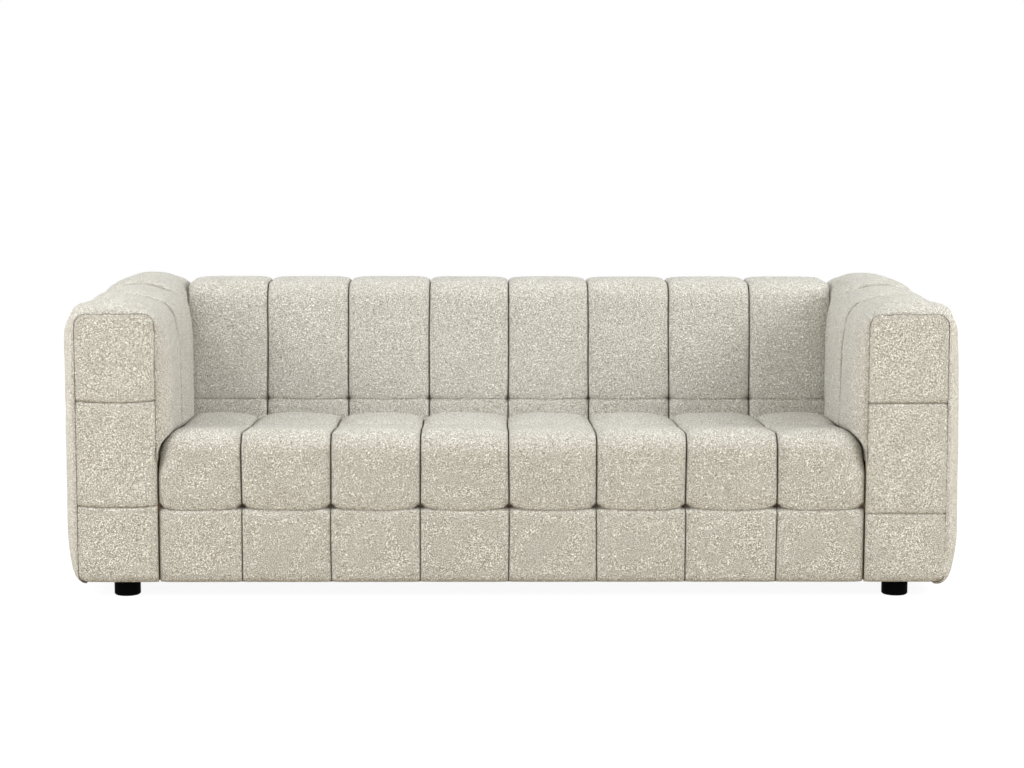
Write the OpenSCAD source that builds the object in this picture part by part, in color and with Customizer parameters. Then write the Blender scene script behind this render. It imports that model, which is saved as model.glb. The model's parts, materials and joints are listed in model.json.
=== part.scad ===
// Channel-tufted tuxedo sofa: arms as high as the back, tight seat, four short round feet.
// The front faces -Y, +X is to the right as seen from the front, +Z is up, and the origin is on the floor
// under the middle of the sofa. The left arm is the one at -X.

/* [Overall] */
// Width over both arms
sofa_w = 2232; // [1940:4:2640]
// Depth from the front of the arms to the back of the sofa
sofa_d = 890; // [860:5:980]
// Height of the arm corners above the floor
sofa_h = 750; // [700:5:820]
// Gap between the floor and the upholstery
foot_h = 38; // [30:1:60]

/* [Arms] */
// Width of one arm from the seat's side to the outer crown
arm_w = 244; // [225:1:290]
// Padding outside the arm core
arm_pad = 46; // [38:1:54]
// Distance that the middle bands of an arm lie below the corner band
band_drop = 4; // [2:0.5:8]
// Corner radius of the arm core and of the stitched arm panel
arm_core_r = 30; // [20:1:40]
// Radius of the arm core's lower outer corner
arm_hem_r = 20; // [8:1:28]
// Distance from the front of the arm to its first band seam
band_seam_1 = 275; // [240:1:300]
// Distance that an arm's corner band reaches in front of the foot of the back
corner_reach = 81; // [60:1:110]
// Depth of the pad in the stitched arm panel
panel_pad = 17; // [12:0.5:22]
// Height of the upper cross seam of the arm panel
panel_seam_z = 488; // [450:1:520]
// Distance from the seat's front crown down to where the padding on an arm's inner side starts
skirt_drop = 72; // [60:1:82]
// Gap between the end seat channels and the arm core
arm_gap = 2; // [1.5:0.5:4]

/* [Seat] */
// Height of the seat at its front crown
seat_h = 412; // [390:1:440]
// Fall of the seat from its front crown to its rear edge
seat_fall = 30; // [8:1:50]
// Padding in a seat channel
seat_pad = 40; // [34:1:46]
// Radius of the foam at the front roll of the seat
roll_r = 70; // [50:1:80]
// Distance from the seat's front crown down to the front row of tufts
tuft_drop = 184; // [160:1:210]
// Distance from the front to the cross seam on top of the seat
cross_seam_d = 270; // [240:1:300]
// Radius of the shoulder where the end channels meet the arms
shoulder_r = 70; // [55:1:75]
// Depth of the crevice between the seat and the back
crevice = 13; // [10:1:20]

/* [Back] */
// Thickness of the back at the height of the seat
back_t = 280; // [265:1:320]
// Distance that the crest of the back lies below the arm corners
crest_drop = 13; // [5:1:50]
// Lean of the back's inner face, in degrees
back_lean = 8; // [4:0.5:12]
// Padding in a back channel
back_pad = 40; // [34:1:46]
// Radius of the back core along both top edges
back_core_r = 22; // [15:1:30]
// Height of the cross seam on the back above the seat's front crown
back_seam_rise = 3; // [0:1:20]
// Thickness of the back foam slab
back_foam_t = 50; // [40:1:60]
// Thickness of the foam over the top rail
crest_foam_t = 20; // [14:1:26]

/* [Seams] */
// Half of the width of the dip at a cross seam
seam_half = 16; // [10:1:22]
// Running gap left at every sewn joint
seam_gap = 0.5; // [0.3:0.1:1]
// Gap between padding and what carries it
fit_gap = 0.3; // [0.2:0.1:0.6]

/* [Frame] */
// Thickness of the solid rails
rail_t = 22; // [18:1:26]
// Thickness of the plywood ribs and end boards
board_t = 18; // [15:1:21]
// Thickness of the arm side boards
side_t = 12; // [9:1:15]
// Thickness of the foam wrapped round the arm boards
wrap_t = 12; // [8:1:16]
// Distance from the seat's front crown down to the spring deck
deck_drop = 122; // [112:1:142]
// Height of the cross rails
cross_rail_h = 60; // [40:1:80]
// Thickness of the hardboard behind the back
liner_t = 2.7; // [2:0.1:4]
// Height of the spring rail and of the back seam rail
small_rail_h = 60; // [45:1:75]

/* [Suspension] */
// Wire diameter of the sinuous springs
spring_wire = 3.8; // [3:0.1:4.5]
// Width of a sinuous spring
spring_w = 48; // [40:1:60]
// Pitch of the bends of a sinuous spring
spring_pitch = 26; // [22:1:34]
// Thickness of the steel in a spring clip
clip_t = 1.2; // [0.8:0.1:1.6]
// Length of a spring clip
clip_l = 26; // [20:1:36]
// Width of a spring clip
clip_w = 14; // [10:1:18]
// Diameter of the tie wires
tie_wire = 3.2; // [2.4:0.1:4]
// Thickness of the felt over the springs
felt_t = 3; // [2:0.5:5]
// Width of a back webbing strap
web_w = 60; // [50:1:80]
// Thickness of the webbing
web_t = 2; // [1.5:0.1:3]
// Thickness of the dust cover
dust_t = 1.2; // [0.8:0.1:2]

/* [Feet] */
// Diameter of a foot
foot_dia = 65; // [55:1:80]
// Distance from the side of the sofa to a foot's axis
foot_side_inset = 159; // [145:1:180]
// Distance from the front of the sofa to a foot's axis
foot_inset = 56; // [54:1:105]
// Radius of the foot's moulded stud
stud_r = 4; // [3:0.5:5]
// Height of the block that takes the stud
block_h = 45; // [35:1:60]
// Chamfer round the floor side of the foot
foot_edge = 3; // [1:0.5:5]

/* [Hardware] */
// Radial gap between a bolt and its hole in a side rail
bolt_clearance = 0.5; // [0.2:0.1:1]
// Thickness of a bolt head
bolt_head_t = 5; // [3:0.5:7]
// Radius of a bolt head over its corners
bolt_head_r = 7.5; // [6:0.5:10]
// Radius of a T-nut's barrel
nut_barrel_r = 5.5; // [5.2:0.1:7]
// Radius of a T-nut's flange
nut_flange_r = 11; // [9:0.5:14]
// Thickness of a T-nut's flange
nut_flange_t = 1.5; // [1:0.1:2.5]
// Radial gap between a stud and its T-nut
stud_clearance = 0.05; // [0.05:0.05:0.2]

/* [Hidden] */

// Planes of the whole sofa
channel_count = 8;
front_y = -sofa_d / 2;
rear_y = sofa_d / 2;
half_w = sofa_w / 2;
bay_x = half_w - arm_w;
seat_d = sofa_d - back_t;
tuft_row_z = seat_h - tuft_drop;
arm_skirt_z = seat_h - skirt_drop;
back_seam_z = seat_h + back_seam_rise;
deck_z = seat_h - deck_drop;
back_h = sofa_h - crest_drop;
foot_x = half_w - foot_side_inset;
channel_pitch = 2 * bay_x / channel_count;
base_z = foot_h + dust_t;

// Lines of the cores that carry the padding
seat_front_y = front_y + seat_pad;
seat_core_z = seat_h - seat_pad;
seat_end_y = front_y + seat_d - crevice;
roll_y = seat_front_y + roll_r;
roll_z = seat_core_z - roll_r;
seat_slope = atan(seat_fall / (seat_end_y - roll_y));
cross_seam_y = front_y + cross_seam_d;
back_rear_y = rear_y - back_pad;
back_core_z = back_h - back_pad;
back_foot_y = front_y + seat_d + back_pad * cos(back_lean);
back_foot_z = seat_h - back_pad * sin(back_lean);
crest_z = back_core_z - back_core_r;
back_hem_z = deck_z + spring_wire + clip_t + fit_gap;
crest_rear_y = back_rear_y - back_core_r;
crest_front_y = back_line_y(crest_z + back_core_r * sin(back_lean), 0) + back_core_r * cos(back_lean);
arm_in_x = bay_x + arm_gap;
arm_out_x = half_w - arm_pad;
arm_core_z = sofa_h - arm_pad;
arm_board_in_x = arm_in_x + wrap_t;
arm_board_out_x = arm_out_x - wrap_t;
arm_board_z = arm_core_z - wrap_t;
band_y_1 = front_y + band_seam_1;
band_y_2 = front_y + seat_d - corner_reach;
end_board_y = rear_y - panel_pad - fit_gap;

// Shares of the padding at each station of a path, first to last
seat_depth_shares = [0.5, 0.86, 1, 0.9, 0.55, 0.9, 1, 1, 1, 1, 1, 1, 0.92, 0.75, 0.92, 1, 0.9];
shoulder_shares = [0, 0, 0, 0, 0, 0, 0, 0.3, 0.6, 0.85, 1, 1, 1, 1, 1, 1, 1];
back_depth_shares = [0.8, 0.9, 0.62, 0.9, 1, 1, 1, 1, 1, 1, 1, 1, 1, 1, 1, 0.9, 0.5];
band_depth_shares = [0.04, 0.07, 0.24, 0.5, 0.87, 0.82, 0.5, 0.44, 0.5, 0.68, 1,
    0.78, 0.6, 0.6, 0.84, 1, 1, 1, 0.9, 0.72, 0.5, 0.28, 0.05];
notch_shares = [0.033, 0.033, 0.033, 0.033, 0.033, 0.033, 0.033, 0.1, 0.3, 0.6, 1,
    0.78, 0.6, 0.6, 0.84, 1, 1, 1, 0.9, 0.72, 0.5, 0.28, 0.05];
panel_depth_shares = [0.6, 0.72, 0.84, 0.9, 0.92, 0.75, 0.92, 1, 0.92, 0.75, 0.92, 1, 0.9, 0.75, 0.5];
// Shares of a pad's width at which its columns stand
even_column_shares = [0, 0.067, 0.25, 0.5, 0.75, 0.933, 1];
end_column_shares = [0, 0.06, 0.16, 0.33, 0.6, 0.93, 1];
corner_column_shares = [0, 0.07, 0.19, 0.235, 0.5, 0.85, 1];
panel_column_shares = [0, 0.12, 0.5, 0.88, 1];
// Shares of the padding left at a sewn edge, at a free edge and under a shoulder
channel_edge_share = 0.5;
band_edge_share = 0.55;
free_edge_share = 0.06;
shoulder_sole_shares = [-1.05, -0.35, 0, 0];
// Shares that place the stations between two named heights
low_share = 0.4;
half_share = 0.5;
high_share = 0.75;
inner_height_shares = [0, 0.09, 0.16, 0.22, 0.3, 0.76];
// Shares of a spring's length at which the tie wires lie
tie_place_shares = [0.33, 0.67];
top_station = 10;
arc_steps = 3;
roll_steps = 4;
crown_power = 4;
// Fine steps of round solids
$fn = 48;

function mix(a, b, share) = a + (b - a) * share;

// A station is [first coordinate, second coordinate, angle of the outward normal]
function arc_stations(mid, radius, from, to, count) = [
    for (k = [0:count])
        let (a = mix(from, to, k / count))
        [mid[0] + radius * cos(a), mid[1] + radius * sin(a), a]
];
function crown_share(u, edge_share) = mix(edge_share, 1, 1 - pow(abs(2 * u - 1), crown_power));
function seat_top_z(y) = seat_core_z - (y - roll_y) * tan(seat_slope);
function back_line_y(z, inset) =
    back_foot_y + inset / cos(back_lean) + (z - back_foot_z) * tan(back_lean);

// Seat channel in Y and Z: up the front, over the roll and back to the foot of the back
seat_stations = concat(
    [for (z = [foot_h, foot_h + seam_half, mix(foot_h, tuft_row_z, half_share),
        tuft_row_z - seam_half, tuft_row_z, tuft_row_z + seam_half])
        [seat_front_y, z, 180]],
    arc_stations([roll_y, roll_z], roll_r, 180, 90 - seat_slope, roll_steps),
    [for (y = [mix(roll_y, cross_seam_y, half_share), cross_seam_y - seam_half, cross_seam_y,
        cross_seam_y + seam_half, mix(cross_seam_y, seat_end_y, half_share), seat_end_y])
        [y, seat_top_z(y), 90 - seat_slope]]
);

// Back channel in Y and Z: up the leaning inner face, over the crest and down the rear
back_stations = concat(
    [for (z = [back_hem_z, back_seam_z - seam_half, back_seam_z, back_seam_z + seam_half,
        mix(back_seam_z, crest_z, low_share), mix(back_seam_z, crest_z, high_share)])
        [back_line_y(z, 0), z, 180 - back_lean]],
    arc_stations([crest_front_y, crest_z], back_core_r, 180 - back_lean, 90, arc_steps),
    arc_stations([crest_rear_y, crest_z], back_core_r, 90, 0, arc_steps),
    [for (z = [mix(foot_h, crest_z, half_share), foot_h + seam_half, foot_h]) [back_rear_y, z, 0]]
);

// Arm band in X and Z, for the arm at +X: up the inner side, over the top, down the outside and under
arm_corner_z = arm_core_z - arm_core_r;
band_stations = concat(
    [for (share = inner_height_shares) [arm_in_x, mix(arm_skirt_z, arm_corner_z, share), 180]],
    arc_stations([arm_in_x + arm_core_r, arm_corner_z], arm_core_r, 180, 90, arc_steps),
    [[mix(arm_in_x, arm_out_x, half_share), arm_core_z, 90]],
    arc_stations([arm_out_x - arm_core_r, arm_corner_z], arm_core_r, 90, 0, arc_steps),
    [for (z = [arm_corner_z - 2 * arm_core_r, mix(tuft_row_z, arm_corner_z, low_share), tuft_row_z,
        mix(foot_h, tuft_row_z, half_share)])
        [arm_out_x, z, 0]],
    arc_stations([arm_out_x - arm_hem_r, foot_h + arm_hem_r], arm_hem_r, 0, -90, arc_steps)
);

// Arm panel in Y and Z, level with the arm core: past the rounded lower corner to the rounded top
panel_top_z = arm_core_z - fit_gap;
panel_stations = concat(
    [for (k = [0:arc_steps])
        [front_y + panel_pad, foot_h + arm_hem_r * (1 - cos(90 * k / arc_steps)), 180]],
    [for (z = [tuft_row_z - seam_half, tuft_row_z,
        tuft_row_z + seam_half, mix(tuft_row_z, panel_seam_z, half_share), panel_seam_z - seam_half,
        panel_seam_z, panel_seam_z + seam_half])
        [front_y + panel_pad, z, 180]],
    [for (k = [0:arc_steps])
        [front_y + panel_pad, panel_top_z - arm_core_r * (1 - sin(90 * k / arc_steps)), 180]]
);
function panel_inset(i) =
    let (k = i - (len(panel_stations) - 1 - arc_steps))
    k <= 0 ? 0 : arm_core_r * (1 - cos(90 * k / arc_steps));
function hem_inset(i) = i > arc_steps ? 0 : arm_hem_r * (1 - sin(90 * i / arc_steps));

// A pad is a closed sheet of triangles over a path. across(i, j) places a column, depth(i, j) is its
// outer surface and sole(i, k) its inner one, under the columns that soles lists.
module pad(stations, cols, across, depth, soles, sole, along_arm = false) {
    rows = len(stations);
    last = len(soles) - 1;
    spot = function (s, a, d)
        let (p = s[0] + d * cos(s[2]), q = s[1] + d * sin(s[2]))
        along_arm ? [p, a, q] : [a, p, q];
    outer = [for (i = [0:rows - 1]) for (j = [0:cols - 1])
        spot(stations[i], across(i, j), depth(i, j))];
    inner = [for (i = [0:rows - 1]) for (k = [0:last])
        spot(stations[i], across(i, soles[k]), sole(i, k))];
    o = function (i, j) i * cols + j;
    n = function (i, k) rows * cols + i * (last + 1) + k;
    under = function (j) len([for (s = soles) if (s <= j) s]) - 1;
    skin = [for (i = [0:rows - 2]) for (j = [0:cols - 2])
        each [[o(i, j), o(i, j + 1), o(i + 1, j + 1)], [o(i, j), o(i + 1, j + 1), o(i + 1, j)]]];
    floor_side = [for (i = [0:rows - 2]) for (k = [0:last - 1])
        each [[n(i, k), n(i + 1, k + 1), n(i, k + 1)], [n(i, k), n(i + 1, k), n(i + 1, k + 1)]]];
    walls = [for (i = [0:rows - 2]) each [
        [o(i, 0), o(i + 1, 0), n(i + 1, 0)],
        [o(i, 0), n(i + 1, 0), n(i, 0)],
        [o(i + 1, cols - 1), o(i, cols - 1), n(i, last)],
        [o(i + 1, cols - 1), n(i, last), n(i + 1, last)]]];
    cap = function (i) [for (j = [0:cols - 2]) each concat(
        [[o(i, j + 1), o(i, j), n(i, under(j))]],
        under(j + 1) == under(j) ? [] : [[o(i, j + 1), n(i, under(j)), n(i, under(j + 1))]])];
    turned = function (faces) [for (f = faces) [f[2], f[1], f[0]]];
    faces = concat(skin, floor_side, walls, cap(0), turned(cap(rows - 1)));
    polyhedron(concat(outer, inner), along_arm ? turned(faces) : faces);
}

module cream() {
    color([0.87, 0.85, 0.79]) children();
}

module wood() {
    color([0.78, 0.62, 0.42]) children();
}

module foam_yellow() {
    color([0.93, 0.87, 0.6]) children();
}

module steel() {
    color([0.62, 0.63, 0.65]) children();
}

// Puts an outline drawn in Y and Z across the sofa, or one drawn in X and Z along it
module across_x(from, to) {
    translate([from, 0, 0]) rotate([90, 0, 90]) linear_extrude(to - from) children();
}

module along_y(from, to) {
    translate([0, to, 0]) rotate([90, 0, 0]) linear_extrude(to - from) children();
}

module block(x, y, z) {
    translate([x[0], y[0], z[0]]) cube([x[1] - x[0], y[1] - y[0], z[1] - z[0]]);
}

module both_arms() {
    children();
    mirror([1, 0, 0]) children();
}

module both_ends() {
    children();
    mirror([0, 1, 0]) children();
}

// Soft pieces
module seat_channel(k) {
    x_0 = -bay_x + (k - 1) * channel_pitch + seam_gap / 2;
    width = channel_pitch - seam_gap;
    ending = k == 1 || k == channel_count;
    flip = k == channel_count;
    shares = ending ? end_column_shares : even_column_shares;
    count = len(shares);
    place = function (j) flip ? 1 - shares[count - 1 - j] : shares[j];
    across = function (i, j) x_0 + width * place(j);
    drop = function (j)
        let (d = min(width * (flip ? 1 - place(j) : place(j)), shoulder_r))
        ending ? shoulder_r - sqrt(pow(shoulder_r, 2) - pow(shoulder_r - d, 2)) : 0;
    crown = function (i, j)
        let (u = place(j), arm_side = flip ? u > half_share : u < half_share)
        crown_share(ending && arm_side && shoulder_shares[i] > 0 ? half_share : u, channel_edge_share);
    depth = function (i, j)
        seat_pad * seat_depth_shares[i] * crown(i, j) - drop(j) * shoulder_shares[i];
    soles = !ending ? [0, count - 1]
        : flip ? [0, count - 3, count - 2, count - 1]
        : [0, 1, 2, count - 1];
    sole = function (i, n)
        ending ? seat_pad * shoulder_shares[i] * shoulder_sole_shares[flip ? 3 - n : n] : 0;
    cream() pad(seat_stations, count, across, depth, soles, sole);
}

module back_channel(k) {
    x_0 = -bay_x + (k - 1) * channel_pitch + seam_gap / 2;
    count = len(even_column_shares);
    across = function (i, j) x_0 + (channel_pitch - seam_gap) * even_column_shares[j];
    depth = function (i, j)
        back_pad * back_depth_shares[i] * crown_share(even_column_shares[j], channel_edge_share);
    cream() pad(back_stations, count, across, depth, [0, count - 1], function (i, n) 0);
}

// Share of the padding that a rounded free edge leaves at a distance from it
function free_share(d) = d >= arm_pad ? 1 : max(free_edge_share, sqrt(1 - pow(1 - d / arm_pad, 2)));

module arm_band(from, to, shares, front_free = false, rear_free = false) {
    count = len(shares);
    low = from + seam_gap / 2;
    high = to - seam_gap / 2;
    across = function (i, j) mix(low, high, shares[j]);
    top_share = rear_free ? 1 : 1 - band_drop / arm_pad;
    notched = function (i, j)
        rear_free && across(i, j) > front_y + seat_d ? notch_shares[i] : band_depth_shares[i];
    edge = function (j)
        let (u = shares[j])
        front_free && u < half_share ? free_share(across(0, j) - low)
        : rear_free && u > half_share ? free_share(high - across(0, j))
        : crown_share(u, band_edge_share);
    depth = function (i, j)
        max(arm_pad * edge(j) * notched(i, j) * (i == top_station ? top_share : 1), arm_gap * half_share);
    cream() pad(band_stations, count, across, depth, [0, count - 1], function (i, n) 0, along_arm = true);
}

module arm_panel() {
    count = len(panel_column_shares);
    inset = function (i) fit_gap + panel_inset(i);
    across = function (i, j)
        mix(arm_in_x + inset(i), arm_out_x - inset(i) - hem_inset(i), panel_column_shares[j]);
    depth = function (i, j)
        panel_pad * panel_depth_shares[i] * crown_share(panel_column_shares[j], channel_edge_share);
    cream() pad(panel_stations, count, across, depth, [0, count - 1], function (i, n) 0);
}

// Timber base
module base_front_rail() {
    wood() block([-arm_board_in_x, arm_board_in_x],
        [seat_front_y + fit_gap, seat_front_y + fit_gap + rail_t], [base_z, deck_z]);
}

module base_rear_rail() {
    wood() block([-arm_board_in_x, arm_board_in_x],
        [back_rear_y - fit_gap - rail_t, back_rear_y - fit_gap], [base_z, deck_z]);
}

// Bolts that hold each arm to the base, with the same thread as the feet, each midway between two boards
arm_box_y = end_board_y - board_t;
bolt_z = mix(base_z, deck_z, half_share);
bolt_ys = [
    mix(-arm_box_y, band_y_1, half_share), mix(band_y_1, band_y_2, half_share),
    mix(band_y_2, arm_box_y, half_share)
];
bolt_end_x = arm_board_in_x + side_t + nut_flange_t + stud_r;

module base_side_rails() {
    wood() both_arms() difference() {
        block([arm_board_in_x - rail_t, arm_board_in_x],
            [seat_front_y + fit_gap + rail_t, back_rear_y - fit_gap - rail_t], [base_z, deck_z]);
        bolt_holes(stud_r + bolt_clearance);
    }
}

module bolt_holes(r) {
    for (y = bolt_ys)
        translate([0, y, bolt_z]) rotate([0, 90, 0]) cylinder(r = r, h = half_w);
}

module base_cross_rails() {
    wood() for (k = [-2, 0, 2])
        block([k * channel_pitch - rail_t / 2, k * channel_pitch + rail_t / 2],
            [seat_front_y + fit_gap + rail_t, back_rear_y - fit_gap - rail_t],
            [base_z, base_z + cross_rail_h]);
}

spring_rail_y = front_y + seat_d + rail_t / 2;

module seat_spring_rail() {
    wood() block([rail_t - arm_board_in_x, arm_board_in_x - rail_t],
        [spring_rail_y, spring_rail_y + rail_t], [deck_z - small_rail_h, deck_z]);
}

// Foot hardware
foot_y = front_y + foot_inset;
block_x = [arm_board_in_x + side_t, arm_board_out_x - side_t];
block_z = base_z + block_h;
stud_top_z = block_z + nut_flange_t;

module corner_blocks() {
    wood() both_arms() both_ends() difference() {
        block(block_x, [-arm_box_y, foot_y + block_h], [base_z, block_z]);
        translate([foot_x, foot_y, 0]) cylinder(r = nut_barrel_r, h = sofa_h);
    }
}

module t_nut(depth) {
    difference() {
        union() {
            translate([0, 0, -depth]) cylinder(r = nut_barrel_r, h = depth);
            cylinder(r = nut_flange_r, h = nut_flange_t);
        }
        translate([0, 0, -2 * depth]) cylinder(r = stud_r + stud_clearance, h = 4 * depth);
    }
}

module t_nuts() {
    steel() both_arms() {
        both_ends() translate([foot_x, foot_y, block_z]) t_nut(block_h);
        for (y = bolt_ys)
            translate([arm_board_in_x + side_t, y, bolt_z]) rotate([0, 90, 0]) t_nut(side_t);
    }
}

module arm_bolts() {
    steel() both_arms() for (y = bolt_ys)
        translate([arm_board_in_x - rail_t, y, bolt_z]) rotate([0, 90, 0]) {
            translate([0, 0, -bolt_head_t]) cylinder(r = bolt_head_r, h = bolt_head_t, $fn = 6);
            cylinder(r = stud_r, h = bolt_end_x - arm_board_in_x + rail_t);
        }
}

// Back frame: ribs behind two rails that carry upright webbing
web_inset = back_foam_t;
rail_inset = web_inset + web_t;
rib_inset = rail_inset + rail_t;
top_rail_z = back_core_z - crest_foam_t;
liner_y = back_rear_y - fit_gap - liner_t;
seam_rail_z = back_seam_z - small_rail_h / 2;

module back_ribs() {
    rib_line = function (z) [back_line_y(z, rib_inset), z];
    base_y = back_rear_y - fit_gap - rail_t;
    wood() for (k = [-3, -1, 1, 3])
        across_x(k * channel_pitch - board_t / 2, k * channel_pitch + board_t / 2)
            polygon([
                [spring_rail_y + rail_t, base_z], [spring_rail_y + rail_t, deck_z], rib_line(deck_z),
                rib_line(top_rail_z - rail_t), [liner_y, top_rail_z - rail_t], [liner_y, deck_z],
                [base_y, deck_z], [base_y, base_z]
            ]);
}

module back_top_rail() {
    rail_line = function (z) [back_line_y(z, rail_inset), z];
    wood() across_x(-bay_x, bay_x) polygon([
        rail_line(top_rail_z - rail_t), rail_line(top_rail_z), [liner_y, top_rail_z],
        [liner_y, top_rail_z - rail_t]
    ]);
}

module leaning_strip(z_0, z_1, inset, depth) {
    polygon([
        [back_line_y(z_0, inset), z_0], [back_line_y(z_1, inset), z_1],
        [back_line_y(z_1, inset + depth), z_1], [back_line_y(z_0, inset + depth), z_0]
    ]);
}

module back_seam_rail() {
    wood() across_x(-bay_x, bay_x)
        leaning_strip(seam_rail_z, seam_rail_z + small_rail_h, rail_inset, rail_t);
}

module back_webbing() {
    color([0.2, 0.2, 0.22]) for (k = [1:channel_count])
        across_x((k - half_share) * channel_pitch - bay_x - web_w / 2,
            (k - half_share) * channel_pitch - bay_x + web_w / 2)
            leaning_strip(seam_rail_z, top_rail_z, web_inset, web_t);
}

module back_liner() {
    color([0.55, 0.42, 0.28])
        block([-bay_x, bay_x], [liner_y, back_rear_y - fit_gap], [deck_z, crest_z]);
}

// The back foam fills the space between the padding's path and the rails and webbing
module back_foam() {
    bend = function (stations) [for (t = stations) [t[0], t[1]]];
    r = back_core_r - fit_gap;
    foam_yellow() difference() {
        across_x(-bay_x, bay_x) polygon(concat(
            [[back_line_y(back_hem_z, fit_gap), back_hem_z]],
            bend(arc_stations([crest_front_y, crest_z], r, 180 - back_lean, 90, arc_steps)),
            bend(arc_stations([crest_rear_y, crest_z], r, 90, 0, arc_steps)),
            [[back_rear_y - fit_gap, back_hem_z]]
        ));
        across_x(-half_w, half_w) polygon([
            [back_line_y(0, web_inset), 0], [back_line_y(top_rail_z, web_inset), top_rail_z],
            [liner_y, top_rail_z], [liner_y, crest_z], [rear_y, crest_z], [rear_y, 0]
        ]);
    }
}

// Arm frames, drawn for the arm at +X
module arm_outline(inset) {
    r = arm_core_r - inset;
    hem_r = arm_hem_r - inset;
    x_in = arm_in_x + inset;
    x_out = arm_out_x - inset;
    top = arm_core_z - inset;
    difference() {
        union() {
            polygon([
                [x_in, foot_h + inset], [x_in, top - r], [x_in + r, top],
                [x_out - r, top], [x_out, top - r], [x_out, foot_h + arm_hem_r],
                [x_out - hem_r, foot_h + inset]
            ]);
            translate([x_in + r, top - r]) circle(r, $fn = 4 * arc_steps);
            translate([x_out - r, top - r]) circle(r, $fn = 4 * arc_steps);
            translate([x_out - hem_r, foot_h + arm_hem_r]) circle(hem_r, $fn = 4 * arc_steps);
        }
        translate([arm_in_x, 0]) square([arm_w, base_z]);
    }
}

module arm_end_boards() {
    wood() both_arms() both_ends() along_y(end_board_y - board_t, end_board_y) arm_outline(fit_gap);
}

module arm_inner_boards() {
    wood() both_arms() difference() {
        block([arm_board_in_x, arm_board_in_x + side_t], [-arm_box_y, arm_box_y], [base_z, arm_board_z]);
        bolt_holes(nut_barrel_r);
    }
}

// The board follows the rounded lower corner
module arm_outer_boards() {
    wood() both_arms() intersection() {
        block([arm_board_out_x - side_t, arm_board_out_x], [-arm_box_y, arm_box_y], [base_z, arm_board_z]);
        along_y(-sofa_d, sofa_d) arm_outline(fit_gap);
    }
}

module arm_top_boards() {
    wood() both_arms() block(block_x, [-arm_box_y, arm_box_y], [arm_board_z - side_t, arm_board_z]);
}

module arm_ribs() {
    wood() both_arms() for (y = [band_y_1, band_y_2])
        block(block_x, [y - side_t / 2, y + side_t / 2], [base_z, arm_board_z - side_t]);
}

// The wrap covers the boards, and its inner side stops where the back starts
module arm_foam() {
    foam_yellow() both_arms() difference() {
        along_y(-arm_box_y, arm_box_y) arm_outline(fit_gap);
        block([arm_board_in_x, arm_board_out_x], [-sofa_d, sofa_d], [0, arm_board_z]);
        block([0, arm_board_in_x], [-sofa_d, sofa_d], [0, arm_skirt_z]);
        block([0, arm_board_in_x], [front_y + seat_d - crevice, sofa_d], [0, arm_board_z]);
    }
}

// Seat suspension
spring_top_z = deck_z + spring_wire;
spring_y_0 = seat_front_y + fit_gap + rail_t / 2;
spring_y_1 = spring_rail_y + rail_t / 2;
bend_count = floor((spring_y_1 - spring_y_0) / spring_pitch);
bend_pitch = (spring_y_1 - spring_y_0) / bend_count;
function spring_x(k) = (k - half_share) * channel_pitch - bay_x;

// Corners of the zigzag, and the same corners moved half a wire to one side
spring_route = [
    for (k = [0:bend_count])
        each let (s = k % 2 == 0 ? -1 : 1, y = spring_y_0 + k * bend_pitch)
        [[s * (spring_w - spring_wire) / 2, y], [-s * (spring_w - spring_wire) / 2, y]]
];
function unit(v) = v / norm(v);
function shifted(route, side) = [
    for (i = [0:len(route) - 1])
        let (
            a = unit(i > 0 ? route[i] - route[i - 1] : route[1] - route[0]),
            b = unit(i < len(route) - 1 ? route[i + 1] - route[i] : route[i] - route[i - 1]),
            miter = i > 0 && i < len(route) - 1 ? [-a[1] - b[1], a[0] + b[0]] : [-a[1], a[0]]
        )
        route[i] + side * spring_wire / 2 * miter
];
function reversed(list) = [for (i = [len(list) - 1:-1:0]) list[i]];

module seat_springs() {
    steel() for (k = [1:channel_count])
        translate([spring_x(k), 0, deck_z]) linear_extrude(spring_wire)
            polygon(concat(shifted(spring_route, 1), reversed(shifted(spring_route, -1))));
}

module spring_clips() {
    steel() for (k = [1:channel_count]) for (y = [spring_y_0, spring_y_1]) {
        translate([spring_x(k) - clip_l / 2, y - clip_w / 2, spring_top_z]) cube([clip_l, clip_w, clip_t]);
        for (s = [-1, 1])
            translate([spring_x(k) - clip_l / 2, y + s * (clip_w - clip_t) / 2 - clip_t / 2, deck_z])
                cube([clip_l, clip_t, spring_wire + clip_t]);
    }
}

// Two tie wires lie across all the springs
module spring_tie_wires() {
    reach = arm_board_in_x - rail_t - tie_wire;
    steel() for (share = tie_place_shares)
        translate([-reach, mix(spring_y_0, spring_y_1, share), spring_top_z + tie_wire / 2])
            rotate([0, 90, 0]) cylinder(d = tie_wire, h = 2 * reach);
}

felt_z = spring_top_z + tie_wire;
foam_z = felt_z + felt_t;
foam_half_w = bay_x - shoulder_r;

module deck_felt() {
    color([0.45, 0.45, 0.47])
        block([-foam_half_w, foam_half_w], [seat_front_y + fit_gap, seat_end_y], [felt_z, foam_z]);
}

module seat_foam() {
    roll = arc_stations([roll_y, roll_z], roll_r - fit_gap, 180, 90 - seat_slope, roll_steps);
    foam_yellow() intersection() {
        across_x(-foam_half_w, foam_half_w) polygon(concat(
            [[seat_front_y + fit_gap, 0]], [for (t = roll) [t[0], t[1]]],
            [[seat_end_y, seat_top_z(seat_end_y) - fit_gap], [seat_end_y, 0]]
        ));
        block([-bay_x, bay_x], [front_y, rear_y], [foam_z, seat_h]);
    }
}

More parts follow.
